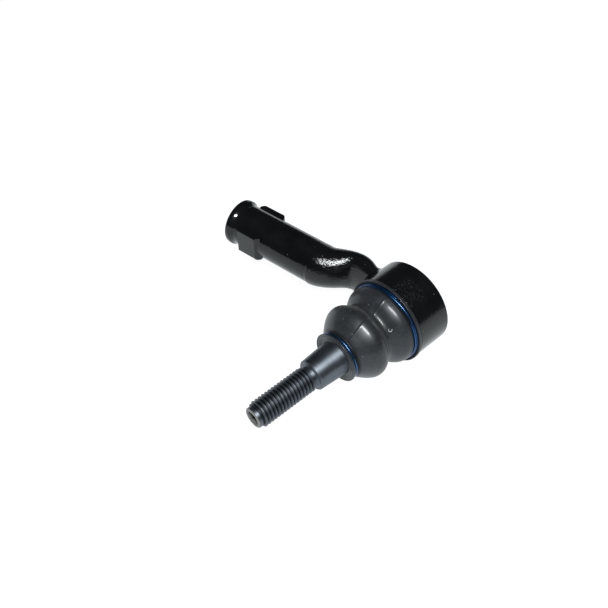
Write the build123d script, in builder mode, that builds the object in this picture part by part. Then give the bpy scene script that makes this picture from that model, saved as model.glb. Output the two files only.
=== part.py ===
"""Outer tie rod end: a ball joint with a tapered stud and an internally threaded, S-bent tube.

The origin is the centre of the ball.  +Y runs along the stud towards its threaded tip, +X points
across the stud towards the tube, and +Z is up when the joint lies flat.  All sizes are in mm.
"""
from build123d import *
from math import cos, radians, sin, sqrt
import os

# Ball and stud
BALL_R = 12.0
STUD_NECK_R = 5.6
STUD_NECK_END_Y = 20.0
STUD_FLARE_END_Y = 27.5
TAPER_LARGE_R = 8.6
TAPER_START_Y = 32.3
SHOULDER_Y = 51.4
TAPER_RATIO = 1 / 8
THREAD_R = 6.0
UNDERCUT_R = 5.35
UNDERCUT_LENGTH = 2.4
PILOT_R = 4.85
PILOT_LENGTH = 2.0
TIP_Y = 83.8
SOCKET_FLATS = 6.0
SOCKET_DEPTH = 5.0

# Cup of the housing
CUP_R = 21.0
CUP_BACK_Y = -14.8
CUP_BACK_EDGE = 0.7
CUP_FRONT_Y = 3.6
CUP_FRONT_EDGE = 0.6
BEARING_R = 14.5
COVER_SEAT_R = 16.0
COVER_SEAT_Y = -11.4
COVER_EDGE = 1.6
ROLLED_LIP_R = 14.9
BOOT_GROOVE_R = 16.5
BOOT_RETAINER_R = 17.3
BOOT_RETAINER_Y = 7.4
MOUTH_Y = 8.6
MOUTH_R = 11.8

# Tube, jog and neck
TUBE_ANGLE = 10.0
TUBE_CROSSING_Y = -6.2
TUBE_REACH = 101.4
TUBE_R = 11.0
TUBE_START = 50.0
TUBE_RUN_IN = 3.0
COLLAR_R = 12.25
COLLAR_LENGTH = 2.4
COLLAR_ROUNDING = 0.6
FLARE_LENGTH = 3.6
PAD_FROM_END = 7.0
PAD_LENGTH = 15.6
PAD_SLOPE = 2.0
PAD_CORNER = 1.5
PAD_EDGE_R = 0.9
NECK_FILLET = 2.5
PAD_ACROSS_FLATS = 24.0
PAD_WIDTH = 14.6
NECK_Y = -8.2
NECK_HALF_Y = 6.2
NECK_HALF_Z = 11.9
NECK_START_X = 14.0
NECK_MIDDLE_X = 25.0
NECK_X = 31.0
NECK_ROOT_X = (15.0, 21.0)
NECK_ROOT_LENGTH = (10.0, 40.0)
JOG_X = 39.3
JOG_Y = -2.8
ROD_THREAD_R = 7.0
ROD_THREAD_LENGTH = 40.0
ROD_BORE_CHAMFER = 0.8

# Bearing parts behind and in front of the ball
RUNNING_GAP = 0.04
FRONT_SEAT_Y = 6.4
SEAT_PARTING = 0.3
REAR_SEAT_Y = -8.6
SPRING_THICKNESS = 0.8

# Dust boot and its rings
BOOT_WALL = 1.6
BOOT_LIP_R = 21.4
BOOT_LIP_Y = 5.15
LARGE_RING_SEAT_R = 19.0
LARGE_RING_WIRE = 0.9
LARGE_RING_Y = 4.55
SMALL_RING_SEAT_R = 11.0
SMALL_RING_WIRE = 0.9
SMALL_RING_Y = 34.85
SMALL_LIP_R = 12.25
SMALL_LIP_BACK_Y = 36.0
SMALL_LIP_Y = 37.2
BOOT_BORE_R = 8.75
BOOT_BEAD = (11.5, 34.2)
BOOT_SMALL_END = (11.6, 33.3)
SMALL_BULGE = (18.35, 23.0)
SUPPORT_INNER_R = 9.3
SUPPORT_OUTER_R = 10.2
SUPPORT_FROM_Y = 33.2
SUPPORT_TO_Y = 35.8

TUBE_DIRECTION = Vector(cos(radians(TUBE_ANGLE)), sin(radians(TUBE_ANGLE)), 0)
SHOULDER_R = TAPER_LARGE_R - (SHOULDER_Y - TAPER_START_Y) * TAPER_RATIO / 2


def tube_plane(distance):
    """Plane across the tube, at a distance along its axis from the stud's axis."""
    centre = Vector(0, TUBE_CROSSING_Y, 0) + TUBE_DIRECTION * distance
    return Plane(origin=centre, x_dir=(0, 0, 1), z_dir=TUBE_DIRECTION)


def tube_distance(point):
    """Distance of a point from the tube's axis."""
    from_crossing = Vector(point) - Vector(0, TUBE_CROSSING_Y, 0)
    return from_crossing.cross(TUBE_DIRECTION).length


def ball_height(radius, distance):
    """Radius of the circle that a plane cuts from a sphere about the origin."""
    return sqrt(radius**2 - distance**2)


pad_middle = tube_plane(TUBE_REACH - PAD_FROM_END - PAD_LENGTH / 2)
pad_plane = Plane(origin=pad_middle.origin, x_dir=TUBE_DIRECTION, z_dir=(0, 0, 1))
pad_section = Plane(origin=pad_middle.origin, x_dir=pad_plane.y_dir, z_dir=TUBE_DIRECTION)
collar_plane = Plane(origin=tube_plane(TUBE_REACH).origin, x_dir=-TUBE_DIRECTION, z_dir=(0, 0, -1))
os.makedirs("parts", exist_ok=True)

# --- Wrench flats: a rounded bar through the tube's axis, cut to a slope at both ends ------------
with BuildPart() as wrench_flats:
    with BuildSketch(pad_section):
        RectangleRounded(PAD_ACROSS_FLATS, PAD_WIDTH, PAD_EDGE_R)
    extrude(amount=PAD_LENGTH / 2, both=True)
    with BuildSketch(pad_plane):
        with BuildLine():
            Polyline(
                (-PAD_LENGTH / 2, -TUBE_R + 1.0),
                (-PAD_LENGTH / 2 + PAD_SLOPE, -PAD_ACROSS_FLATS / 2),
                (PAD_LENGTH / 2 - PAD_SLOPE, -PAD_ACROSS_FLATS / 2),
                (PAD_LENGTH / 2, -TUBE_R + 1.0),
                (PAD_LENGTH / 2, TUBE_R - 1.0),
                (PAD_LENGTH / 2 - PAD_SLOPE, PAD_ACROSS_FLATS / 2),
                (-PAD_LENGTH / 2 + PAD_SLOPE, PAD_ACROSS_FLATS / 2),
                (-PAD_LENGTH / 2, TUBE_R - 1.0),
                close=True,
            )
        pad_corners = make_face().vertices().group_by(tube_distance)[-1]
        fillet(pad_corners, PAD_CORNER)
    extrude(amount=PAD_WIDTH, both=True, mode=Mode.INTERSECT)

# --- Housing: forged cup, neck, jog and tube in one piece --------------------------------------
with BuildPart() as housing:
    with BuildSketch(Plane.XY):
        with BuildLine():
            Polyline(
                (0, CUP_BACK_Y),
                (CUP_R - CUP_BACK_EDGE, CUP_BACK_Y),
                (CUP_R, CUP_BACK_Y + CUP_BACK_EDGE),
                (CUP_R, CUP_FRONT_Y - CUP_FRONT_EDGE),
                (CUP_R - CUP_FRONT_EDGE, CUP_FRONT_Y),
                (BOOT_GROOVE_R, CUP_FRONT_Y),
                (BOOT_GROOVE_R, BOOT_RETAINER_Y),
                (BOOT_RETAINER_R, BOOT_RETAINER_Y + 0.3),
                (BOOT_RETAINER_R, MOUTH_Y - 0.6),
                (BOOT_RETAINER_R - 0.6, MOUTH_Y),
                (0, MOUTH_Y),
                close=True,
            )
        make_face()
    revolve(axis=Axis.Y)

    # The neck leaves the cup, widens and jogs forward to the tube's own axis.
    with BuildSketch(Plane(origin=(NECK_START_X, NECK_Y, 0), x_dir=(0, 0, 1), z_dir=(1, 0, 0))):
        Ellipse(NECK_HALF_Z + 0.8, NECK_HALF_Y - 0.6)
    with BuildSketch(Plane(origin=(NECK_MIDDLE_X, NECK_Y, 0), x_dir=(0, 0, 1), z_dir=(1, 0, 0))):
        Ellipse(NECK_HALF_Z, NECK_HALF_Y - 0.4)
    with BuildSketch(Plane(origin=(NECK_X, NECK_Y + 0.3, 0), x_dir=(0, 0, 1), z_dir=(1, 0.15, 0))):
        Ellipse(NECK_HALF_Z, NECK_HALF_Y)
    with BuildSketch(Plane(origin=(JOG_X, JOG_Y, 0), x_dir=(0, 0, 1), z_dir=(1, 0.75, 0))):
        Ellipse(TUBE_R - 0.3, TUBE_R - 2.0)
    with BuildSketch(tube_plane(TUBE_START - TUBE_RUN_IN)):
        Circle(TUBE_R)
    with BuildSketch(tube_plane(TUBE_START)):
        Circle(TUBE_R)
    loft()
    with BuildSketch(tube_plane(TUBE_START)):
        Circle(TUBE_R)
    extrude(amount=TUBE_REACH - TUBE_START)

    # A collar closes the tube's end, flared out of the tube, and two wrench flats stand behind it.
    with BuildSketch(collar_plane):
        with BuildLine():
            Polyline((0, 0), (0, COLLAR_R - COLLAR_ROUNDING))
            JernArc((0, COLLAR_R - COLLAR_ROUNDING), (0, 1), COLLAR_ROUNDING, -90)
            Line((COLLAR_ROUNDING, COLLAR_R), (COLLAR_LENGTH, COLLAR_R))
            ThreePointArc(
                (COLLAR_LENGTH, COLLAR_R),
                (COLLAR_LENGTH + FLARE_LENGTH * 0.4, TUBE_R + 0.36),
                (COLLAR_LENGTH + FLARE_LENGTH, TUBE_R - 0.05),
            )
            Polyline(
                (COLLAR_LENGTH + FLARE_LENGTH, TUBE_R - 0.05),
                (COLLAR_LENGTH + FLARE_LENGTH, 0),
                (0, 0),
            )
        make_face()
    revolve(axis=Axis(collar_plane.origin, TUBE_DIRECTION))
    add(wrench_flats.part)

    # Forging radius where the neck meets the cup.
    neck_root = housing.edges().filter_by_position(Axis.X, *NECK_ROOT_X)
    neck_root = neck_root.filter_by(lambda edge: NECK_ROOT_LENGTH[0] < edge.length < NECK_ROOT_LENGTH[1])
    fillet(neck_root, NECK_FILLET)

    # Bearing bore, opened at the back for assembly and rolled over the cover afterwards.
    with BuildSketch(Plane.XY):
        with BuildLine():
            Polyline(
                (0, CUP_BACK_Y - 1.0),
                (ROLLED_LIP_R, CUP_BACK_Y - 1.0),
                (ROLLED_LIP_R, CUP_BACK_Y + 0.4),
                (COVER_SEAT_R, COVER_SEAT_Y - COVER_EDGE),
                (COVER_SEAT_R, COVER_SEAT_Y),
                (BEARING_R, COVER_SEAT_Y),
                (BEARING_R, 3.0),
                (MOUTH_R - 0.6, 7.2),
                (MOUTH_R, MOUTH_Y + 1.0),
                (0, MOUTH_Y + 1.0),
                close=True,
            )
        make_face()
    revolve(axis=Axis.Y, mode=Mode.SUBTRACT)

    # Threaded bore for the tie rod, with a lead-in chamfer.
    with BuildSketch(tube_plane(TUBE_REACH)):
        Circle(ROD_THREAD_R)
    extrude(amount=-ROD_THREAD_LENGTH, mode=Mode.SUBTRACT)
    rims = housing.edges().filter_by(GeomType.CIRCLE)
    rims = rims.filter_by(lambda edge: abs(edge.radius - ROD_THREAD_R) < 0.01)
    chamfer(rims.sort_by(Axis.X)[-1], ROD_BORE_CHAMFER)
housing.part.label = "housing"

# --- Ball stud: ball, neck, taper, undercut, thread and hexagon socket --------------------------
with BuildPart() as ball_stud:
    with BuildSketch(Plane.XY):
        neck_y = ball_height(BALL_R, STUD_NECK_R)
        with BuildLine():
            ThreePointArc((0, -BALL_R), (BALL_R, 0), (STUD_NECK_R, neck_y))
            Polyline(
                (STUD_NECK_R, neck_y),
                (STUD_NECK_R, STUD_NECK_END_Y),
                (TAPER_LARGE_R, STUD_FLARE_END_Y),
                (TAPER_LARGE_R, TAPER_START_Y),
                (SHOULDER_R, SHOULDER_Y - 0.3),
                (SHOULDER_R - 0.4, SHOULDER_Y),
                (UNDERCUT_R, SHOULDER_Y),
                (UNDERCUT_R, SHOULDER_Y + UNDERCUT_LENGTH),
                (THREAD_R, SHOULDER_Y + UNDERCUT_LENGTH + 0.65),
                (THREAD_R, TIP_Y - PILOT_LENGTH - 1.15),
                (PILOT_R, TIP_Y - PILOT_LENGTH),
                (PILOT_R, TIP_Y - 0.4),
                (PILOT_R - 0.4, TIP_Y),
                (0, TIP_Y),
                (0, -BALL_R),
            )
        make_face()
    revolve(axis=Axis.Y)
    with BuildSketch(Plane(origin=(0, TIP_Y, 0), x_dir=(1, 0, 0), z_dir=(0, 1, 0))):
        RegularPolygon(SOCKET_FLATS / 2, 6, major_radius=False)
    extrude(amount=-SOCKET_DEPTH, mode=Mode.SUBTRACT)
ball_stud.part.label = "ball_stud"

# --- Bearing seats: a front seat that carries the load and a rear seat pressed by the spring ----
SOCKET_R = BALL_R + RUNNING_GAP
with BuildPart() as front_seat:
    with BuildSketch(Plane.XY):
        front_r = ball_height(SOCKET_R, FRONT_SEAT_Y)
        parting_r = ball_height(SOCKET_R, SEAT_PARTING)
        middle_y = SOCKET_R * sin(radians(15))
        middle_r = SOCKET_R * cos(radians(15))
        with BuildLine():
            ThreePointArc((parting_r, SEAT_PARTING), (middle_r, middle_y), (front_r, FRONT_SEAT_Y))
            Polyline(
                (front_r, FRONT_SEAT_Y),
                (front_r + 1.3, FRONT_SEAT_Y),
                (BEARING_R, 3.0),
                (BEARING_R, SEAT_PARTING),
                (parting_r, SEAT_PARTING),
            )
        make_face()
    revolve(axis=Axis.Y)
front_seat.part.label = "front_bearing_seat"

with BuildPart() as rear_seat:
    with BuildSketch(Plane.XY):
        rear_r = ball_height(SOCKET_R, REAR_SEAT_Y)
        middle_y = -SOCKET_R * sin(radians(20))
        middle_r = SOCKET_R * cos(radians(20))
        with BuildLine():
            ThreePointArc((parting_r, -SEAT_PARTING), (middle_r, middle_y), (rear_r, REAR_SEAT_Y))
            Polyline(
                (rear_r, REAR_SEAT_Y),
                (rear_r + 1.0, REAR_SEAT_Y - 1.0),
                (BEARING_R - 1.6, REAR_SEAT_Y - 1.0),
                (BEARING_R, REAR_SEAT_Y + 0.8),
                (BEARING_R, -SEAT_PARTING),
                (parting_r, -SEAT_PARTING),
            )
        make_face()
    revolve(axis=Axis.Y)
rear_seat.part.label = "rear_bearing_seat"

# --- Preload spring: a conical washer between the cover and the rear seat ------------------------
with BuildPart() as spring:
    spring_back = COVER_SEAT_Y
    spring_front = REAR_SEAT_Y - 1.0
    with BuildSketch(Plane.XY):
        with BuildLine():
            Polyline(
                (8.8, spring_front),
                (8.8, spring_front - SPRING_THICKNESS),
                (13.2, spring_back),
                (13.9, spring_back),
                (13.9, spring_back + SPRING_THICKNESS),
                (9.6, spring_front),
                close=True,
            )
        make_face()
    revolve(axis=Axis.Y)
spring.part.label = "preload_spring"

# --- Closing cover: a pressed disc with a shallow dome, held by the rolled lip -------------------
with BuildPart() as cover:
    outer_back = COVER_SEAT_Y - COVER_EDGE
    with BuildSketch(Plane.XY):
        with BuildLine():
            Polyline((0, outer_back - 1.2), (0, COVER_SEAT_Y - 1.2), (5.0, COVER_SEAT_Y - 1.2))
            Line((5.0, COVER_SEAT_Y - 1.2), (9.5, COVER_SEAT_Y))
            Polyline(
                (9.5, COVER_SEAT_Y),
                (COVER_SEAT_R, COVER_SEAT_Y),
                (COVER_SEAT_R, outer_back),
                (10.0, outer_back),
            )
            Line((10.0, outer_back), (5.5, outer_back - 1.2))
            Line((5.5, outer_back - 1.2), (0, outer_back - 1.2))
        make_face()
    revolve(axis=Axis.Y)
cover.part.label = "closing_cover"


def boot_wall_line(inset, small_end):
    """Two bulges and the waist between them, from the small end to the large end."""
    small_bulge = (SMALL_BULGE[0] - inset, SMALL_BULGE[1])
    ThreePointArc(small_end, (14.85 - inset, 30.0), small_bulge)
    ThreePointArc(small_bulge, (17.2 - inset, 19.6), (15.0 - inset, 17.4))
    ThreePointArc((15.0 - inset, 17.4), (14.4 - inset, 16.4), (15.1 - inset, 15.4))
    ThreePointArc((15.1 - inset, 15.4), (18.0 - inset, 12.1), (19.7 - inset, 8.0))


# --- Dust boot: a rubber bellows with two bulges, clamped at both ends ---------------------------
with BuildPart() as boot:
    bore_r = BOOT_GROOVE_R + 0.05
    ring_back = LARGE_RING_Y - 0.05
    inner_end = (SUPPORT_OUTER_R + 0.05, SUPPORT_FROM_Y)
    with BuildSketch(Plane.XY):
        with BuildLine():
            Line(BOOT_BEAD, BOOT_SMALL_END)
            boot_wall_line(0, BOOT_SMALL_END)
            Polyline(
                (19.7, 8.0),
                (19.6, 7.2),
                (LARGE_RING_SEAT_R, 7.0),
                (LARGE_RING_SEAT_R, ring_back),
                (BOOT_LIP_R - 1.4, ring_back),
                (BOOT_LIP_R - 0.3, BOOT_LIP_Y),
                (BOOT_LIP_R, BOOT_LIP_Y - 0.2),
                (BOOT_LIP_R, CUP_FRONT_Y + 0.6),
                (BOOT_LIP_R - 0.6, CUP_FRONT_Y + 0.05),
                (bore_r, CUP_FRONT_Y + 0.05),
                (bore_r, BOOT_RETAINER_Y - 0.05),
                (BOOT_RETAINER_R + 0.3, BOOT_RETAINER_Y + 0.3),
                (19.7 - BOOT_WALL, 8.0),
            )
            boot_wall_line(BOOT_WALL, inner_end)
            Polyline(
                inner_end,
                (SUPPORT_OUTER_R + 0.05, SUPPORT_TO_Y + 0.05),
                (SUPPORT_INNER_R - 0.05, SUPPORT_TO_Y + 0.05),
                (SUPPORT_INNER_R - 0.05, SUPPORT_FROM_Y),
                (BOOT_BORE_R, SUPPORT_FROM_Y),
                (BOOT_BORE_R, SUPPORT_TO_Y + 0.5),
                (SMALL_LIP_R - 1.5, SMALL_LIP_Y),
                (SMALL_LIP_R - 0.4, SMALL_LIP_Y),
                (SMALL_LIP_R, SMALL_LIP_Y - 0.4),
                (SMALL_LIP_R - 0.1, SMALL_LIP_BACK_Y),
                (SMALL_RING_SEAT_R, SMALL_RING_Y + SMALL_RING_WIRE / 2),
                (SMALL_RING_SEAT_R, SMALL_RING_Y - SMALL_RING_WIRE / 2),
                BOOT_BEAD,
            )
        make_face()
    revolve(axis=Axis.Y)
boot.part.label = "dust_boot"

# --- Support ring: stiffens the boot's small end so that its lip seals on the taper --------------
with BuildPart() as support:
    with BuildSketch(Plane.XY):
        with Locations(((SUPPORT_INNER_R + SUPPORT_OUTER_R) / 2, (SUPPORT_FROM_Y + SUPPORT_TO_Y) / 2)):
            Rectangle(SUPPORT_OUTER_R - SUPPORT_INNER_R, SUPPORT_TO_Y - SUPPORT_FROM_Y)
    revolve(axis=Axis.Y)
    chamfer(support.edges(), 0.2)
support.part.label = "boot_support_ring"


def clamp_ring(seat_r, middle_y, wire, turns):
    """Closed band with the outline of a few wire turns that lie side by side on a seat."""
    low_y = middle_y - wire * turns / 2
    with BuildPart() as ring:
        with BuildSketch(Plane.XY):
            with BuildLine():
                for turn in range(turns):
                    start_y = low_y + turn * wire
                    bottom = (seat_r + wire * 0.7, start_y)
                    crest = (seat_r + wire, start_y + wire / 2)
                    top = (seat_r + wire * 0.7, start_y + wire)
                    ThreePointArc(bottom, crest, top)
                Polyline(
                    (seat_r + wire * 0.7, low_y + turns * wire),
                    (seat_r, low_y + turns * wire),
                    (seat_r, low_y),
                    (seat_r + wire * 0.7, low_y),
                )
            make_face()
        revolve(axis=Axis.Y)
    return ring


# --- Clamp rings: spring wire wound round the boot's two ends ------------------------------------
large_ring_middle = LARGE_RING_Y + LARGE_RING_WIRE
large_ring = clamp_ring(LARGE_RING_SEAT_R, large_ring_middle, LARGE_RING_WIRE, 2)
large_ring.part.label = "large_clamp_ring"
small_ring = clamp_ring(SMALL_RING_SEAT_R, SMALL_RING_Y, SMALL_RING_WIRE, 1)
small_ring.part.label = "small_clamp_ring"

nodes = [housing, ball_stud, front_seat, rear_seat, spring, cover]
nodes += [boot, support, large_ring, small_ring]
for node in nodes:
    export_step(node.part, f"parts/{node.part.label}.step")
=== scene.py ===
"""Looks of the outer tie rod end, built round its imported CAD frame.

Metres, in the row frame: the ball's centre is the origin, +Y runs along the stud towards its tip,
+X towards the tube and +Z up.  Profile numbers are in millimetres and scaled by MM.
"""
import math

import bmesh
import bpy
import numpy as np
from mathutils import Matrix, Vector


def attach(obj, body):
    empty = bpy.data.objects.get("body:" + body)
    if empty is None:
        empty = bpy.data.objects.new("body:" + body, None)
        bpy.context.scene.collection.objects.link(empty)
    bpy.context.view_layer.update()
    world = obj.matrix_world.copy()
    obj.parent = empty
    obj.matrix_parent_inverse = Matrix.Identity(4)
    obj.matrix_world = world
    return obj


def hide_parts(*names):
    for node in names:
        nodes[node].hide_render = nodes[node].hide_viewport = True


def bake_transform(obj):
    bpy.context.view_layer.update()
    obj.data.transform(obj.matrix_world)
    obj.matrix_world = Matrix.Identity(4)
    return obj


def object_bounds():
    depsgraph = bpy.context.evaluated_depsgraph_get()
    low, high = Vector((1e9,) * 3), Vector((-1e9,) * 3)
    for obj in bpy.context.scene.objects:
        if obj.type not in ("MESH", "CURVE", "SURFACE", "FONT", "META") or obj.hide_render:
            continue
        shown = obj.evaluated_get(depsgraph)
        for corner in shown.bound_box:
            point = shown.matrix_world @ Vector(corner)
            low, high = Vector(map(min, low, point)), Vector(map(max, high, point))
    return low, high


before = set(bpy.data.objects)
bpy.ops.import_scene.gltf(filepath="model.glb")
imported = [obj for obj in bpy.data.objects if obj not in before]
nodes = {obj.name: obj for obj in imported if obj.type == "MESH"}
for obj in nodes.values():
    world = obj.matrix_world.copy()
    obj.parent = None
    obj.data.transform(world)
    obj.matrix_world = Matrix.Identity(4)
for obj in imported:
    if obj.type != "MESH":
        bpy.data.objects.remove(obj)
cad_low, cad_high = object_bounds()

MM = 0.001

# Camera, fitted for a square frame
SENSOR = 36.0
LENS = 41.45
CAMERA_PLACE = (-0.132933, 0.171889, 0.246411)
CAMERA_RIGHT = (-0.66656, -0.7454, -0.00704)
CAMERA_UP = (0.55152, -0.4995, 0.66809)
CAMERA_BACK = (-0.50152, 0.4414, 0.74405)

# Stud
STUD_COLUMNS = 144
BALL_R = 12.0
STUD_NECK_R = 5.6
NECK_END_Y = 20.0
FLARE_END_Y = 27.5
TAPER_R = 8.6
TAPER_START = 32.3
SHOULDER_Y = 51.4
SHOULDER_R = TAPER_R - (SHOULDER_Y - TAPER_START) / 16
THREAD_R = 6.0
THREAD_PITCH = 1.75
THREAD_DEPTH = 1.05
THREAD_FROM = 53.4
THREAD_TO = 81.8
UNDERCUT_R = 5.35
PILOT_R = 4.85
TIP_Y = 83.8
SOCKET_FLATS = 6.0
SOCKET_DEPTH = 5.0

# Tube bore
TUBE_ANGLE = math.radians(10.0)
TUBE_CROSSING_Y = -6.2
TUBE_REACH = 101.4
BORE_R = 7.0
BORE_LENGTH = 40.0
BORE_PITCH = 1.5
BORE_THREAD_DEPTH = 0.81

# Boot and rings
BOOT_COLUMNS = 168
SPLIT_Y = 18.0
WALL_THICKNESS = 1.6
SEAM_ANGLE = 95.0
SEAM_TWIST = 0.52
WIRE_R = 0.45
WALL = (
    (8.0, 19.7), (10.0, 19.25), (12.0, 18.05), (13.3, 16.75), (14.4, 15.5), (15.4, 14.75),
    (16.4, 14.5), (17.4, 14.75), (18.4, 15.5), (19.7, 16.75), (21.5, 17.9), (23.3, 18.25),
    (25.2, 17.95), (26.9, 17.1), (28.6, 15.95), (30.0, 14.8), (31.5, 13.5), (32.6, 12.4),
    (33.3, 11.65), (33.8, 11.5), (34.2, 11.5),
)
LEAN = 0.5
LEAN_DIRECTION = (1.0, -0.25)
MARK_ANGLE = 136.0
MARK_Y = 14.35
MARK_R = 0.7
MARK_LEG = 0.55
MARK_BAR_R = 0.2
LARGE_RING_R = 19.0 + WIRE_R
LARGE_RING_Y = 5.02
LARGE_RING_PITCH = 0.94
LARGE_RING_TURNS = 1.89
LARGE_RING_START = 103.0
LARGE_RING_SPREAD = 0.12
SMALL_RING_R = 11.0 + WIRE_R
SMALL_RING_Y = 34.85
SMALL_RING_TURNS = 0.98
SMALL_RING_START = 240.0

# Floor, metres
FLOOR_HALF = 6.0
FLOOR_GAP = 0.0002


# --- Mesh helpers --------------------------------------------------------------------------------
def add_mesh(name, points, faces, crease=35.0):
    """New smooth-shaded object from points in millimetres; edges sharper than crease stay sharp."""
    mesh = bpy.data.meshes.new(name)
    mesh.from_pydata([tuple(p * MM for p in point) for point in points], [], faces)
    mesh.validate()
    piece = bpy.data.objects.new(name, mesh)
    bpy.context.scene.collection.objects.link(piece)
    merge_and_orient(mesh)
    mesh.shade_smooth()
    mesh.set_sharp_from_angle(angle=math.radians(crease))
    return piece


def merge_and_orient(mesh):
    """Joins points that coincide, drops faces without area and points every face outwards."""
    work = bmesh.new()
    work.from_mesh(mesh)
    bmesh.ops.remove_doubles(work, verts=work.verts, dist=2e-7)
    bmesh.ops.dissolve_degenerate(work, edges=work.edges, dist=2e-7)
    bmesh.ops.recalc_face_normals(work, faces=work.faces)
    work.to_mesh(mesh)
    work.free()


def grid_faces(rows, columns, shift=0, ring=False):
    """Quads between rows of points round a closed circle; shift rows pass at the circle's end."""
    faces = []
    row_count = rows if ring else rows - 1
    for i in range(row_count):
        for j in range(columns):
            k = (j + 1) % columns
            step = shift if k == 0 else 0
            if not ring and i + 1 + step >= rows:
                continue
            a, b = i * columns, (i + 1) % rows * columns
            passed = step * columns + k
            faces.append((a + j, b + j, b + passed, a + passed))
    return faces


def moved_faces(faces, offset):
    """The same faces for points that start further down the list."""
    return [tuple(offset + v for v in face) for face in faces]


def rounded(points, steps=5):
    """Points of an open outline (x, y, corner radius), with a curve at each rounded corner."""
    out = []
    for i, (x, y, radius) in enumerate(points):
        if radius == 0 or i in (0, len(points) - 1):
            out.append((x, y))
            continue
        here = Vector((x, y))
        before = Vector(points[i - 1][:2]) - here
        after = Vector(points[i + 1][:2]) - here
        half = before.angle(after) / 2
        reach = min(radius / math.tan(half), before.length * 0.49, after.length * 0.49)
        a, b = here + before.normalized() * reach, here + after.normalized() * reach
        for k in range(steps + 1):
            t = k / steps
            point = a * (1 - t) ** 2 + here * (2 * t * (1 - t)) + b * t**2
            out.append((point.x, point.y))
    return out


def circle_points(radii, heights, angles):
    """Points of one row round +Y; an angle of 0 is +X and 90 degrees is +Z."""
    return np.stack([radii * np.cos(angles), heights + 0 * angles, radii * np.sin(angles)], 1)


# --- Threads -------------------------------------------------------------------------------------
def thread_height(phase, crest_share, root_share):
    """Height from 0 at the root to 1 at the crest over one pitch, with straight flanks."""
    flank = (1 - crest_share - root_share) / 2
    distance = abs(phase - 0.5)
    rise = (0.5 - root_share / 2 - distance) / flank
    return min(1.0, max(0.0, rise))


def thread_row(y, pitch, angles, radius_at):
    """One flat row across the thread, where it meets a plain end."""
    radii = np.array([radius_at((y / pitch - a / math.tau) % 1.0, y) for a in angles])
    return circle_points(radii, y, angles)


def helix_rows(low, high, pitch, per_pitch, angles, radius_at):
    """Rows that climb along the helix, cut off at both ends; radius_at(phase, y) gives the radius."""
    step = pitch / per_pitch
    first = math.floor(low / step) - per_pitch - 1
    last = math.ceil(high / step) + 1
    rows = []
    for i in range(first, last + 1):
        heights = i * step + pitch * angles / math.tau
        clipped = np.clip(heights, low, high)
        phases = (clipped / pitch - angles / math.tau) % 1.0
        radii = np.array([radius_at(phase, y) for phase, y in zip(phases, clipped)])
        rows.append(circle_points(radii, clipped, angles))
    return rows


def smooth_step(value, low, high):
    t = min(1.0, max(0.0, (value - low) / (high - low)))
    return t * t * (3 - 2 * t)


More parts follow.
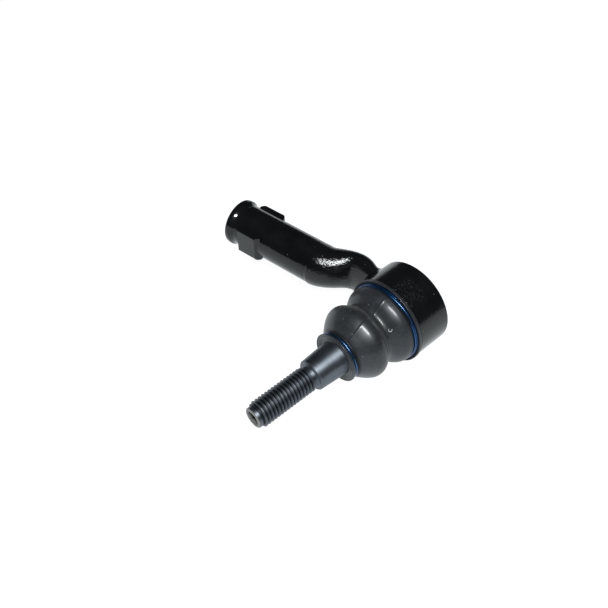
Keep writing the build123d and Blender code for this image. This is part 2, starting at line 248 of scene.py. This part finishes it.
# --- Ball stud with its helical thread, undercut, pilot and hexagon socket -------------------------
def build_stud():
    angles = np.arange(STUD_COLUMNS) * math.tau / STUD_COLUMNS
    neck_y = math.sqrt(BALL_R**2 - STUD_NECK_R**2)
    outline = [(0.02, -BALL_R)]
    neck_turn = math.atan2(neck_y, STUD_NECK_R)
    for k in range(1, 49):
        t = -math.pi / 2 + (neck_turn + math.pi / 2) * k / 48
        outline.append((BALL_R * math.cos(t), BALL_R * math.sin(t)))
    outline += rounded([
        (STUD_NECK_R, neck_y + 0.1, 0),
        (STUD_NECK_R, NECK_END_Y, 3.0),
        (TAPER_R, FLARE_END_Y, 3.0),
        (TAPER_R, TAPER_START, 1.0),
        (SHOULDER_R, SHOULDER_Y - 0.45, 0.3),
        (SHOULDER_R - 0.4, SHOULDER_Y, 0.2),
        (UNDERCUT_R + 0.5, SHOULDER_Y, 0.3),
        (UNDERCUT_R - 0.15, SHOULDER_Y + 0.5, 0.4),
        (UNDERCUT_R - 0.15, THREAD_FROM - 0.2, 0),
    ])
    rows = [circle_points(r, y, angles) for r, y in outline]
    root = THREAD_R - THREAD_DEPTH
    undercut = UNDERCUT_R - 0.15

    def radius_at(phase, y):
        full = root + THREAD_DEPTH * thread_height(phase, 0.16, 0.14)
        lead_in = PILOT_R + 0.02 + (THREAD_TO - y) * 1.1
        runout = undercut + (y - THREAD_FROM) * 1.2
        floor = undercut - (undercut - root) * smooth_step(y, THREAD_FROM, THREAD_FROM + 1.0)
        return max(min(full, lead_in, runout), min(floor, lead_in))

    upper = rounded([
        (PILOT_R, THREAD_TO + 0.15, 0),
        (PILOT_R, TIP_Y - 0.45, 0.2),
        (PILOT_R - 0.4, TIP_Y, 0.2),
        (PILOT_R - 0.7, TIP_Y, 0),
    ])
    ends = [circle_points(r, y, angles) for r, y in upper]
    wedge = (angles % (math.pi / 3)) - math.pi / 6
    hexagon = SOCKET_FLATS / 2 / np.cos(wedge)
    ends.append(circle_points(hexagon + 0.1, TIP_Y, angles))
    ends.append(circle_points(hexagon, TIP_Y - 0.1, angles))
    ends.append(circle_points(hexagon, TIP_Y - SOCKET_DEPTH + 0.8, angles))
    ends.append(circle_points(hexagon * 0 + 2.2, TIP_Y - SOCKET_DEPTH + 0.5, angles))
    ends.append(circle_points(hexagon * 0 + 0.02, TIP_Y - SOCKET_DEPTH, angles))

    per_pitch = 16
    helix = helix_rows(THREAD_FROM, THREAD_TO, THREAD_PITCH, per_pitch, angles, radius_at)
    helix_start = len(rows) * STUD_COLUMNS
    ends_start = helix_start + len(helix) * STUD_COLUMNS
    joins_start = ends_start + len(ends) * STUD_COLUMNS
    faces = grid_faces(len(rows), STUD_COLUMNS)
    faces += moved_faces(grid_faces(len(helix), STUD_COLUMNS, shift=per_pitch), helix_start)
    faces += moved_faces(grid_faces(len(ends), STUD_COLUMNS), ends_start)
    joins = [thread_row(y, THREAD_PITCH, angles, radius_at) for y in (THREAD_FROM, THREAD_TO)]
    for i, base in enumerate((helix_start - STUD_COLUMNS, ends_start)):
        start = joins_start + i * STUD_COLUMNS
        for j in range(STUD_COLUMNS):
            k = (j + 1) % STUD_COLUMNS
            faces.append((base + j, base + k, start + k, start + j))
    points = np.concatenate([*rows, *helix, *ends, *joins])
    return add_mesh("ball_stud_turned", points, faces, crease=32.0)


# --- Thread inside the tube ------------------------------------------------------------------------
def build_bore_thread():
    angles = np.arange(STUD_COLUMNS) * math.tau / STUD_COLUMNS
    low, high = TUBE_REACH - BORE_LENGTH + 4.0, TUBE_REACH - 0.9

    def radius_at(phase, y):
        full = BORE_R - 0.03 - BORE_THREAD_DEPTH * (1 - thread_height(phase, 0.14, 0.2))
        lead_in = BORE_R - 0.03 - (high - y) * 0.9
        runout = BORE_R - 0.03 - (y - low) * 0.5
        return min(BORE_R - 0.03, max(full, lead_in, runout))

    per_pitch = 12
    helix = helix_rows(low, high, BORE_PITCH, per_pitch, angles, radius_at)
    shell = [
        thread_row(low, BORE_PITCH, angles, radius_at),
        circle_points(BORE_R - 0.005, low, angles),
        circle_points(BORE_R - 0.005, high, angles),
        thread_row(high, BORE_PITCH, angles, radius_at),
    ]
    faces = grid_faces(len(helix), STUD_COLUMNS, shift=per_pitch)
    faces += moved_faces(grid_faces(len(shell), STUD_COLUMNS), len(helix) * STUD_COLUMNS)
    points = np.concatenate([*helix, *shell])
    across = np.array([-math.sin(TUBE_ANGLE), math.cos(TUBE_ANGLE), 0])
    along = np.array([math.cos(TUBE_ANGLE), math.sin(TUBE_ANGLE), 0])
    placed = points[:, 1:2] * along + points[:, 0:1] * across + points[:, 2:3] * np.array([0, 0, 1.0])
    placed[:, 1] += TUBE_CROSSING_Y
    return add_mesh("tube_bore_thread", placed, faces, crease=32.0)


# --- Dust boot, in two halves that meet on the side of the small bulge ------------------------------
def boot_angles():
    """Even columns, and close ones beside the two mould seams."""
    even = [360.0 * i / BOOT_COLUMNS + 1.0 for i in range(BOOT_COLUMNS)]
    close = [s + d for s in (0.0, 180.0) for d in (-0.9, -0.45, 0.0, 0.45, 0.9)]
    even = [a for a in even if min(abs((a - s + 180) % 360 - 180) for s in (0.0, 180.0)) > 1.3]
    return np.radians(sorted(a % 360 for a in even + close))


def outer_wall(inset):
    """Outline of both bulges from the large end to the small one, moved in by the wall."""
    heights = np.concatenate([np.arange(WALL[0][0], WALL[-1][0], 0.33), [WALL[-1][0]]])
    return [(smooth_table(WALL, y) - inset, y) for y in heights]


def smooth_table(table, y):
    """Value of a table of (position, value) rows, joined by a smooth curve."""
    i = max(k for k in range(len(table) - 1) if table[k][0] <= y)
    (y0, r0), (y1, r1) = table[i], table[i + 1]

    def slope(k):
        low, high = max(k - 1, 0), min(k + 1, len(table) - 1)
        return (table[high][1] - table[low][1]) / (table[high][0] - table[low][0])

    t, span = (y - y0) / (y1 - y0), y1 - y0
    a = (2 * t**3 - 3 * t**2 + 1) * r0 + (t**3 - 2 * t**2 + t) * span * slope(i)
    return a + (-2 * t**3 + 3 * t**2) * r1 + (t**3 - t**2) * span * slope(i + 1)


def cut_outline(line, low, high):
    """The part of an outline between two heights, with a point close to each cut."""
    out = []
    for (r0, y0), (r1, y1) in zip(line, line[1:]):
        for cut in (low, low + 0.02, high - 0.02, high):
            if y0 < cut <= y1:
                t = (cut - y0) / (y1 - y0)
                out.append((r0 + (r1 - r0) * t, cut))
        if low < y1 < high:
            out.append((r1, y1))
    return out


def seam_ridge(angle, y):
    """Height of the mould seam at a column, along both bulges."""
    if not 8.5 < y < 33.0:
        return 0.0
    off = min(abs((math.degrees(angle) - s + 180) % 360 - 180) for s in (0.0, 180.0))
    return 0.17 * max(0.0, 1 - off / 0.8)


def leaned(row, y):
    """Points at one height, moved aside with the boot's slight lean."""
    lean = LEAN * math.sin(math.pi * min(1.0, max(0.0, (y - 7.5) / 25.5)))
    return row + np.array([LEAN_DIRECTION[0] * lean, 0, LEAN_DIRECTION[1] * lean])


def mark_point(across, along):
    """Point of the wall beside the horseshoe mark's middle, by two distances on the surface."""
    y = MARK_Y - 0.65 * across - 0.37 * along
    radius = smooth_table(WALL, y)
    angle = math.radians(MARK_ANGLE) + (0.46 * across - 0.90 * along) / radius
    return leaned(circle_points(radius, y, np.array([angle]))[0], y)


def build_mark():
    """Horseshoe mark as a bent bar half sunk in the boot's wall."""
    path = [(-MARK_R, MARK_LEG)]
    path += [(-MARK_R * math.cos(t), -MARK_R * math.sin(t)) for t in np.linspace(0, math.pi, 13)]
    path += [(MARK_R, MARK_LEG)]
    around = 10
    points = []
    for i, (across, along) in enumerate(path):
        middle = mark_point(across, along)
        before, after = path[max(i - 1, 0)], path[min(i + 1, len(path) - 1)]
        direction = mark_point(*after) - mark_point(*before)
        direction /= np.linalg.norm(direction)
        outward = np.cross(mark_point(across, along + 0.1) - middle, mark_point(across + 0.1, along) - middle)
        outward *= math.copysign(1 / np.linalg.norm(outward), outward[1])
        side = np.cross(direction, outward)
        turns = [math.tau * k / around for k in range(around)]
        points += [middle + MARK_BAR_R * (outward * math.cos(a) + side * math.sin(a)) for a in turns]
    faces = grid_faces(len(path), around)
    faces.append(tuple(range(around)))
    faces.append(tuple(len(points) - around + k for k in range(around))[::-1])
    return add_mesh("dust_boot_mark", points, faces, crease=50.0)


def build_boot_half(name, outline):
    base = boot_angles()
    rows = []
    for r, y, outside in outline:
        angles = base + math.radians(SEAM_ANGLE + (y - 9.0) * SEAM_TWIST)
        lift = np.array([seam_ridge(a, y) if outside else 0.0 for a in base])
        rows.append(leaned(circle_points(r + lift, y, angles), y))
    faces = grid_faces(len(rows), len(base), ring=True)
    return add_mesh(name, np.concatenate(rows), faces, crease=50.0)


def build_boot():
    outer = outer_wall(0)
    inner = [(17.6, 7.75)]
    inner += [(r, y) for r, y in outer_wall(WALL_THICKNESS) if 8.0 < y < 31.5 and r > 10.6]
    inner.append((10.25, 33.2))
    flange = rounded([
        (16.55, 3.68, 0),
        (21.4, 3.68, 0.35),
        (21.4, 5.05, 0.2),
        (21.1, 5.15, 0.2),
        (19.97, 4.5, 0.1),
        (19.0, 4.5, 0.1),
        (19.0, 7.0, 0.15),
        (19.6, 7.15, 0.3),
        (19.7, 8.0, 0),
    ])
    wall = [(19.7, 8.0)] + cut_outline([(19.7, 8.0)] + outer[1:], 8.0, SPLIT_Y)
    back = cut_outline(inner, 7.75, SPLIT_Y)[::-1]
    large = [(r, y, False) for r, y in flange[:-1]] + [(r, y, True) for r, y in wall]
    large += [(r, y, False) for r, y in back]
    large += [(17.6, 7.7, False), (17.4, 7.35, False), (16.55, 7.35, False)]
    lip = rounded([
        (11.5, 34.2, 0),
        (11.0, 34.36, 0.1),
        (11.0, 35.32, 0.1),
        (12.12, 36.0, 0.12),
        (12.25, 36.8, 0.2),
        (11.95, 37.0, 0.2),
        (11.3, 36.7, 0.2),
        (10.8, 37.05, 0.3),
        (9.9, 36.75, 0.4),
        (9.2, 36.3, 0.3),
        (8.44, 36.6, 0.1),
        (8.5, 35.0, 0.3),
        (8.75, 33.2, 0.1),
        (9.25, 33.2, 0),
        (9.25, 35.85, 0),
        (10.25, 35.85, 0),
        (10.25, 33.2, 0),
    ])
    front = cut_outline(outer, SPLIT_Y, WALL[-1][0])
    small = [(r, y, True) for r, y in front] + [(r, y, False) for r, y in lip]
    small += [(r, y, False) for r, y in cut_outline(inner, SPLIT_Y, 33.2)[::-1]]
    return build_boot_half("dust_boot_large_half", large), build_boot_half("dust_boot_small_half", small)


# --- Clamp rings: open coils of round spring wire -------------------------------------------------
def build_coil(name, radius, low_y, turns, start_angle, pitch=0.0, spread=0.0):
    """Wire coil round +Y with rounded ends: flat turns, and a step of one pitch between them."""
    per_turn, around = 180, 14
    steps = int(per_turn * turns)
    section = [math.tau * k / around for k in range(around)]

    def section_row(t, size=WIRE_R, push=0.0):
        angle = start_angle - t * math.tau
        out = radius + spread * max(0.0, 1 - min(t, turns - t) / 0.02)
        y = low_y + pitch * smooth_step(t, turns - 1.03, 1.03)
        radial = np.array([math.cos(angle), 0, math.sin(angle)])
        along = np.array([math.sin(angle), 0, -math.cos(angle)])
        up = np.array([0, 1.0, 0])
        middle = radial * out + up * y + along * push
        return [middle + size * (radial * math.cos(s) + up * math.sin(s)) for s in section]

    cap_angles = [math.radians(15 * i) for i in range(6)]
    cap = [(WIRE_R * math.cos(a), WIRE_R * math.sin(a) * 0.6) for a in cap_angles]
    rows = [section_row(0.0, size, -push) for size, push in reversed(cap)]
    rows += [section_row(turns * i / steps) for i in range(1, steps)]
    rows += [section_row(turns, size, push) for size, push in cap]
    faces = grid_faces(len(rows), around)
    faces.append(tuple(range(around)))
    last = (len(rows) - 1) * around
    faces.append(tuple(last + k for k in range(around))[::-1])
    return add_mesh(name, np.concatenate(rows), faces, crease=60.0)


# --- Material helpers ------------------------------------------------------------------------------
class Nodes:
    """Short forms for building one material's node tree."""

    def __init__(self, name):
        self.material = bpy.data.materials.new(name)
        self.material.use_nodes = True
        self.tree = self.material.node_tree
        self.shader = self.tree.nodes["Principled BSDF"]
        self.place = self.add("ShaderNodeTexCoord").outputs["Object"]
        self.axes = self.add("ShaderNodeSeparateXYZ", self.place).outputs

    def add(self, kind, *inputs, **settings):
        node = self.tree.nodes.new(kind)
        for key, value in settings.items():
            setattr(node, key, value)
        for socket, value in zip(node.inputs, inputs):
            self.put(socket, value)
        return node

    def put(self, socket, value):
        if value is None:
            return
        if isinstance(value, bpy.types.NodeSocket):
            self.tree.links.new(value, socket)
        else:
            socket.default_value = value

    def set(self, **values):
        for key, value in values.items():
            self.put(self.shader.inputs[key.replace("_", " ")], value)

    def math(self, operation, *inputs):
        return self.add("ShaderNodeMath", *inputs, operation=operation).outputs[0]

    def noise(self, scale, detail=2.0, roughness=0.5, place=None):
        node = self.add("ShaderNodeTexNoise")
        self.put(node.inputs["Vector"], place or self.place)
        self.put(node.inputs["Scale"], scale)
        self.put(node.inputs["Detail"], detail)
        self.put(node.inputs["Roughness"], roughness)
        return node.outputs["Fac"]

    def stretched(self, x, y, z):
        return self.add("ShaderNodeMapping", self.place, None, None, (x, y, z)).outputs[0]

    def remap(self, value, low, high, to_low=0.0, to_high=1.0, smooth=False):
        node = self.add("ShaderNodeMapRange", value, low, high, to_low, to_high)
        if smooth:
            node.interpolation_type = "SMOOTHSTEP"
        return node.outputs[0]

    def times(self, first, second):
        return self.math("MULTIPLY", first, second)

    def plus(self, first, second):
        return self.math("ADD", first, second)

    def blend_colors(self, share, first, second):
        node = self.add("ShaderNodeMix", data_type="RGBA")
        self.put(node.inputs["Factor"], share)
        self.put(node.inputs[6], (*first, 1.0) if isinstance(first, tuple) else first)
        self.put(node.inputs[7], (*second, 1.0) if isinstance(second, tuple) else second)
        return node.outputs[2]

    def dots(self, scale, size, share):
        """Sparse round specks: 1 inside a speck and 0 elsewhere."""
        cells = self.add("ShaderNodeTexVoronoi")
        self.put(cells.inputs["Vector"], self.place)
        self.put(cells.inputs["Scale"], scale)
        near = self.math("LESS_THAN", cells.outputs["Distance"], size)
        chosen = self.add("ShaderNodeSeparateColor", cells.outputs["Color"]).outputs[0]
        return self.times(near, self.math("GREATER_THAN", chosen, 1 - share))

    def bump(self, height, strength, distance, normal=None):
        node = self.add("ShaderNodeBump")
        self.put(node.inputs["Height"], height)
        node.inputs["Strength"].default_value = strength
        node.inputs["Distance"].default_value = distance
        self.put(node.inputs["Normal"], normal)
        return node.outputs[0]

    def around_axis(self):
        """Distance from the stud's axis."""
        x2 = self.times(self.axes[0], self.axes[0])
        return self.math("SQRT", self.math("MULTIPLY_ADD", self.axes[2], self.axes[2], x2))


def paint_material():
    """Glossy black paint: wavy like orange peel, rough-skinned under the paint on the forged bend."""
    n = Nodes("black_gloss_paint")
    x, y, z = n.axes

    bend_start = n.remap(x, 0.021, 0.030, smooth=True)
    bend_end = n.remap(x, 0.056, 0.046, smooth=True)
    forged = n.times(bend_start, bend_end)
    on_cup = n.remap(n.around_axis(), 0.0215, 0.0208)

    peel = n.noise(620.0, 2.0)
    skin = n.noise(1000.0, 2.0, 0.6)
    skin_depth = n.times(skin, n.remap(forged, 0.0, 1.0, 0.45, 4.6))
    streaks = n.noise(1.0, 3.0, 0.65, n.stretched(1500.0, 110.0, 1500.0))
    streaks = n.times(streaks, n.remap(on_cup, 0.0, 1.0, 0.0, 1.7))
    dust = n.dots(560.0, 0.10, 0.06)
    pits = n.dots(300.0, 0.16, 0.03)
    height = n.plus(n.times(peel, 0.8), skin_depth)
    height = n.plus(height, n.math("MULTIPLY_ADD", dust, 0.3, streaks))
    height = n.math("SUBTRACT", height, n.times(pits, 0.5))

    fog = n.remap(n.noise(90.0, 4.0, 0.6), 0.35, 0.75)
    rubbed = n.times(n.remap(z, 0.0160, 0.0185, smooth=True), n.remap(x, 0.002, -0.002, smooth=True))
    rubbed = n.times(rubbed, n.remap(y, -0.009, -0.005, smooth=True))
    scuffs = n.noise(760.0, 6.0, 0.85, n.stretched(1.0, 2.2, 1.0))
    scuffs = n.times(n.remap(scuffs, 0.57, 0.64), n.times(rubbed, on_cup))

    color = n.blend_colors(fog, (0.0035, 0.0036, 0.0040), (0.0062, 0.0064, 0.0068))
    color = n.blend_colors(n.times(dust, 0.5), color, (0.30, 0.31, 0.32))
    color = n.blend_colors(n.times(scuffs, 0.6), color, (0.17, 0.173, 0.178))
    rough = n.plus(n.remap(fog, 0.0, 1.0, 0.24, 0.34), n.times(scuffs, 0.2))
    n.set(Base_Color=color, Roughness=rough, Normal=n.bump(height, 0.55, 0.00003))
    n.set(Coat_Weight=1.0, Coat_Roughness=0.032, Coat_IOR=1.5, Specular_IOR_Level=0.06)
    n.put(n.shader.inputs["Coat Normal"], n.bump(height, 0.75, 0.00006))
    return n.material


def stud_material(name, dark, light, marks):
    """Coated steel with fine turning marks round the stud's axis, and painted shade darkening the thread
    grooves.
    """
    n = Nodes(name)
    y = n.axes[1]
    turned = n.noise(1.0, 3.0, 0.7, n.stretched(30.0, 5200.0, 30.0))
    wide = n.noise(1.0, 2.0, 0.6, n.stretched(12.0, 900.0, 12.0))
    patches = n.noise(160.0, 4.0, 0.6)
    grain = n.noise(2600.0, 2.0)

    tone = n.math("MULTIPLY_ADD", turned, 0.45, n.times(patches, 0.55))
    color = n.blend_colors(n.remap(tone, 0.32, 0.68), dark, light)
    in_thread = n.times(n.remap(y, 0.0530, 0.0536), n.remap(y, 0.0822, 0.0818))
    color = n.blend_colors(n.times(in_thread, 0.12), color, (0.040, 0.044, 0.052))
    # Painted shade: the thread's roots turn near black where shade falls between the flanks.
    groove_painted_shade = n.times(in_thread, n.remap(n.around_axis(), 0.00555, 0.00505))
    color = n.blend_colors(n.times(groove_painted_shade, 0.85), color, (0.012, 0.012, 0.014))

    rough = n.math("MULTIPLY_ADD", patches, 0.10, n.math("MULTIPLY_ADD", grain, 0.06, 0.37))
    around = n.add("ShaderNodeTangent", direction_type="RADIAL", axis="Y").outputs[0]
    height = n.plus(n.times(turned, 0.55), n.times(wide, 0.45))
    height = n.math("MULTIPLY_ADD", grain, 0.12, height)
    n.set(Base_Color=color, Metallic=0.95, Roughness=rough, Normal=n.bump(height, marks, 0.000012))
    n.set(Anisotropic=0.68, Anisotropic_Rotation=0.25, Tangent=around)
    return n.material


def end_material():
    """Bare end of the stud, paler than its coated sides, and its socket, with painted shade that darkens it
    towards the bottom.
    """
    n = Nodes("bare_stud_end")
    y = n.axes[1]
    rings = n.times(n.around_axis(), 2600.0)
    turned = n.noise(1.0, 2.0, 0.6, n.add("ShaderNodeCombineXYZ", rings, 0.0, 0.0).outputs[0])
    stain = n.noise(420.0, 4.0, 0.65)
    color = n.blend_colors(n.remap(stain, 0.35, 0.7), (0.19, 0.185, 0.18), (0.115, 0.118, 0.122))
    rim = n.times(n.remap(n.around_axis(), 0.0036, 0.0040), n.remap(y, 0.08345, 0.08365))
    color = n.blend_colors(n.times(rim, 0.5), color, (0.40, 0.36, 0.32))
    # Painted shade: the socket goes near black with depth, and its specular level drops with it.
    socket_painted_shade = n.remap(y, 0.0829, 0.0822, smooth=True)
    color = n.blend_colors(n.times(socket_painted_shade, 0.93), color, (0.003, 0.003, 0.003))
    n.set(Base_Color=color, Metallic=0.35, Roughness=n.remap(stain, 0.3, 0.7, 0.36, 0.5))
    n.set(Specular_IOR_Level=n.remap(socket_painted_shade, 0.0, 1.0, 0.5, 0.1), Normal=n.bump(turned, 0.5, 0.00001))
    return n.material


def rubber_material():
    """Matt grey-black rubber with a dusty bloom, fine grain, a few pale specks and painted shade in the
    grooves beside both rings.
    """
    n = Nodes("boot_rubber")
    y = n.axes[1]
    cloud = n.noise(120.0, 5.0, 0.6)
    mottle = n.noise(850.0, 3.0, 0.7)
    grain = n.noise(2200.0, 3.0, 0.6)
    streaks = n.noise(1.0, 3.0, 0.6, n.stretched(300.0, 90.0, 300.0))
    specks = n.dots(620.0, 0.13, 0.045)

    tone = n.math("MULTIPLY_ADD", mottle, 0.45, n.times(cloud, 0.35))
    tone = n.math("MULTIPLY_ADD", streaks, 0.2, tone)
    color = n.blend_colors(n.remap(tone, 0.36, 0.64), (0.0092, 0.0100, 0.0112), (0.0275, 0.0295, 0.0325))
    color = n.blend_colors(n.times(specks, 0.6), color, (0.22, 0.23, 0.24))

    # Painted shade: the rubber turns near black in the grooves beside the small and large rings, and its
    # specular level and coat drop there too.
    small_ring_groove_painted_shade = n.times(n.remap(y, 0.0322, 0.0336, smooth=True), n.remap(y, 0.0362, 0.0358))
    large_ring_groove_painted_shade = n.times(n.remap(y, 0.0086, 0.0068, smooth=True), n.remap(n.around_axis(), 0.0212, 0.0209))
    seat = n.math("MAXIMUM", small_ring_groove_painted_shade, large_ring_groove_painted_shade)
    color = n.blend_colors(n.times(seat, 0.8), color, (0.004, 0.004, 0.004))
    sheen = n.remap(y, 0.0155, 0.0195, 0.25, 0.42, smooth=True)
    sheen = n.times(sheen, n.remap(seat, 0.0, 1.0, 1.0, 0.0))

    rough = n.remap(n.plus(cloud, n.times(grain, 0.4)), 0.4, 1.0, 0.36, 0.48)
    height = n.plus(n.times(grain, 0.6), n.times(cloud, 0.8))
    height = n.math("MULTIPLY_ADD", specks, 0.6, height)
    n.set(Base_Color=color, Roughness=rough, Normal=n.bump(height, 0.35, 0.00003))
    n.set(Sheen_Weight=0.05, Sheen_Roughness=0.5, Specular_IOR_Level=n.remap(seat, 0.0, 1.0, 0.45, 0.12))
    n.set(Coat_Weight=sheen, Coat_Roughness=0.17, Coat_IOR=1.5)
    n.put(n.shader.inputs["Coat Normal"], n.bump(height, 0.3, 0.00003))
    return n.material


def mark_painted_highlight_material():
    """Smooth rubber of the raised horseshoe mark, coloured pale as a painted highlight."""
    n = Nodes("mark_rubber_painted_highlight")
    grain = n.noise(2200.0, 2.0)
    # Painted highlight: the pale colour stands in for the light that the mark's raised edges catch.
    color = n.blend_colors(grain, (0.30, 0.31, 0.32), (0.42, 0.43, 0.44))
    n.set(Base_Color=color, Roughness=n.remap(grain, 0.3, 0.7, 0.2, 0.3), Normal=n.bump(grain, 0.2, 0.00001))
    n.set(Coat_Weight=1.0, Coat_Roughness=0.1, Coat_IOR=1.5)
    return n.material


def wire_material():
    """Blue coated spring wire with drawing lines and slightly uneven coating."""
    n = Nodes("blue_coated_wire")
    uneven = n.noise(700.0, 3.0, 0.6)
    fine = n.noise(3000.0, 2.0)
    color = n.blend_colors(n.remap(uneven, 0.3, 0.7), (0.006, 0.088, 0.27), (0.010, 0.125, 0.38))
    n.set(Base_Color=color, Metallic=0.97, Roughness=n.remap(fine, 0.3, 0.7, 0.30, 0.36))
    n.set(Normal=n.bump(uneven, 0.08, 0.00002), Coat_Weight=0.8, Coat_Roughness=0.22, Coat_IOR=1.5)
    return n.material


def plastic_material():
    """Off-white acetal with faint moulding flow and a waxy gloss."""
    n = Nodes("bearing_acetal")
    flow = n.noise(180.0, 3.0, 0.5)
    grain = n.noise(1800.0, 2.0)
    color = n.blend_colors(flow, (0.66, 0.65, 0.60), (0.78, 0.77, 0.73))
    n.set(Base_Color=color, Roughness=n.remap(grain, 0.3, 0.7, 0.34, 0.44))
    n.set(Normal=n.bump(grain, 0.25, 0.00002))
    return n.material


def steel_material(name, dark, light, rough, metallic, coat):
    """Plain, oiled or coated steel with rolling marks and fine grain."""
    n = Nodes(name)
    cloud = n.noise(200.0, 4.0, 0.6)
    grain = n.noise(2400.0, 3.0, 0.6)
    color = n.blend_colors(n.remap(cloud, 0.3, 0.7), dark, light)
    level = n.remap(grain, 0.3, 0.7, rough, rough + 0.12)
    n.set(Base_Color=color, Metallic=metallic, Roughness=level, Normal=n.bump(grain, 0.3, 0.00002))
    n.set(Coat_Weight=coat, Coat_Roughness=0.12, Coat_IOR=1.5)
    return n.material


def give(material, *pieces):
    """Gives each piece one material in place of what it has."""
    for piece in pieces:
        piece.data.materials.clear()
        piece.data.materials.append(material)


# --- Pieces --------------------------------------------------------------------------------------
spring_steel = steel_material("spring_steel", (0.20, 0.20, 0.21), (0.36, 0.36, 0.37), 0.28, 1.0, 0.0)
cover_steel = steel_material("black_cover_steel", (0.010, 0.010, 0.011), (0.020, 0.020, 0.022), 0.3, 0.0, 0.7)
thread_steel = steel_material("oiled_thread_steel", (0.10, 0.10, 0.105), (0.20, 0.20, 0.21), 0.30, 1.0, 0.0)
give(paint_material(), nodes["housing"])
give(plastic_material(), nodes["front_bearing_seat"], nodes["rear_bearing_seat"])
give(spring_steel, nodes["preload_spring"])
give(cover_steel, nodes["closing_cover"], nodes["boot_support_ring"])

bore_thread = build_bore_thread()
give(thread_steel, bore_thread)
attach(bore_thread, "housing")

stud = build_stud()
give(stud_material("coated_stud_steel", (0.122, 0.138, 0.160), (0.21, 0.23, 0.26), 0.5), stud)
stud.data.materials.append(end_material())
for polygon in stud.data.polygons:
    x, y, z = polygon.center / MM
    on_end = y > TIP_Y - 0.3 and abs(polygon.normal.y) > 0.5
    in_socket = y > TIP_Y - SOCKET_DEPTH and math.hypot(x, z) < 3.6
    if on_end or in_socket:
        polygon.material_index = 1
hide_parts("ball_stud")
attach(stud, "ball_stud")

large_half, small_half = build_boot()
mark = build_mark()
give(rubber_material(), large_half, small_half)
give(mark_painted_highlight_material(), mark)
for half in (large_half, small_half):
    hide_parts("dust_boot")
for piece in (large_half, mark):
    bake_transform(piece)
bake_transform(small_half)

large_ring = build_coil(
    "large_ring_coil", LARGE_RING_R, LARGE_RING_Y, LARGE_RING_TURNS, math.radians(LARGE_RING_START),
    LARGE_RING_PITCH, LARGE_RING_SPREAD,
)
small_ring = build_coil(
    "small_ring_coil", SMALL_RING_R, SMALL_RING_Y, SMALL_RING_TURNS, math.radians(SMALL_RING_START),
)
give(wire_material(), large_ring, small_ring)
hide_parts("large_clamp_ring")
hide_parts("small_clamp_ring")
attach(large_ring, "housing")
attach(small_ring, "boot_collar")


# --- Floor, light and camera ------------------------------------------------------------------------
def build_floor():
    n = Nodes("pale_floor")
    tone = n.noise(3.0, 2.0)
    n.set(Base_Color=n.blend_colors(tone, (0.13, 0.13, 0.13), (0.15, 0.15, 0.15)), Roughness=0.9)
    seen = n.add("ShaderNodeLightPath").outputs["Is Camera Ray"]
    glow = n.blend_colors(seen, (0.90, 0.97, 1.0), (1.0, 1.0, 1.0))
    n.set(Specular_IOR_Level=0.0, Emission_Color=glow, Emission_Strength=n.remap(seen, 0.0, 1.0, 0.66, 0.97))
    half, level = FLOOR_HALF, cad_low.z - FLOOR_GAP
    corners = [(-half, -half, level), (half, -half, level), (half, half, level), (-half, half, level)]
    mesh = bpy.data.meshes.new("floor")
    mesh.from_pydata(corners, [], [(0, 1, 2, 3)])
    floor = bpy.data.objects.new("floor", mesh)
    bpy.context.scene.collection.objects.link(floor)
    floor.data.materials.append(n.material)


def add_light(name, direction, distance, size_x, size_y, power):
    """Soft box that faces the part from a direction; its width runs along +X."""
    lamp = bpy.data.lights.new(name, "AREA")
    lamp.shape = "RECTANGLE"
    lamp.size, lamp.size_y = size_x, size_y
    lamp.energy = power
    lamp.color = (0.94, 0.985, 1.0)
    holder = bpy.data.objects.new(name, lamp)
    bpy.context.scene.collection.objects.link(holder)
    back = Vector(direction).normalized()
    right = (Vector((1, 0, 0)) - back * back.x).normalized()
    up = back.cross(right)
    turn = Matrix((right, up, back)).transposed().to_4x4()
    holder.matrix_world = Matrix.Translation(Vector((0.02, 0.01, 0)) + back * distance) @ turn


def build_world():
    """Dim room for light and reflections, seen as a pale backdrop behind the floor."""
    world = bpy.data.worlds.new("studio")
    bpy.context.scene.world = world
    world.use_nodes = True
    tree = world.node_tree
    room = tree.nodes["Background"]
    room.inputs["Color"].default_value = (0.93, 0.96, 1.0, 1.0)
    room.inputs["Strength"].default_value = 0.02
    backdrop = tree.nodes.new("ShaderNodeBackground")
    backdrop.inputs["Color"].default_value = (1.0, 1.0, 1.0, 1.0)
    backdrop.inputs["Strength"].default_value = 1.0
    path = tree.nodes.new("ShaderNodeLightPath")
    mix = tree.nodes.new("ShaderNodeMixShader")
    tree.links.new(path.outputs["Is Camera Ray"], mix.inputs[0])
    tree.links.new(room.outputs[0], mix.inputs[1])
    tree.links.new(backdrop.outputs[0], mix.inputs[2])
    tree.links.new(mix.outputs[0], tree.nodes["World Output"].inputs["Surface"])


def build_camera():
    camera = bpy.data.cameras.new("camera")
    camera.sensor_width = SENSOR
    camera.lens = LENS
    camera.clip_start, camera.clip_end = 0.01, 50.0
    holder = bpy.data.objects.new("camera", camera)
    bpy.context.scene.collection.objects.link(holder)
    turn = Matrix((CAMERA_RIGHT, CAMERA_UP, CAMERA_BACK)).transposed().to_4x4()
    holder.matrix_world = Matrix.Translation(CAMERA_PLACE) @ turn
    bpy.context.scene.camera = holder


build_floor()
build_world()
add_light("soft_box", (-0.35, 0.34, 0.875), 0.62, 0.30, 0.11, 5.4)
build_camera()
bpy.context.scene.view_settings.view_transform = "Standard"
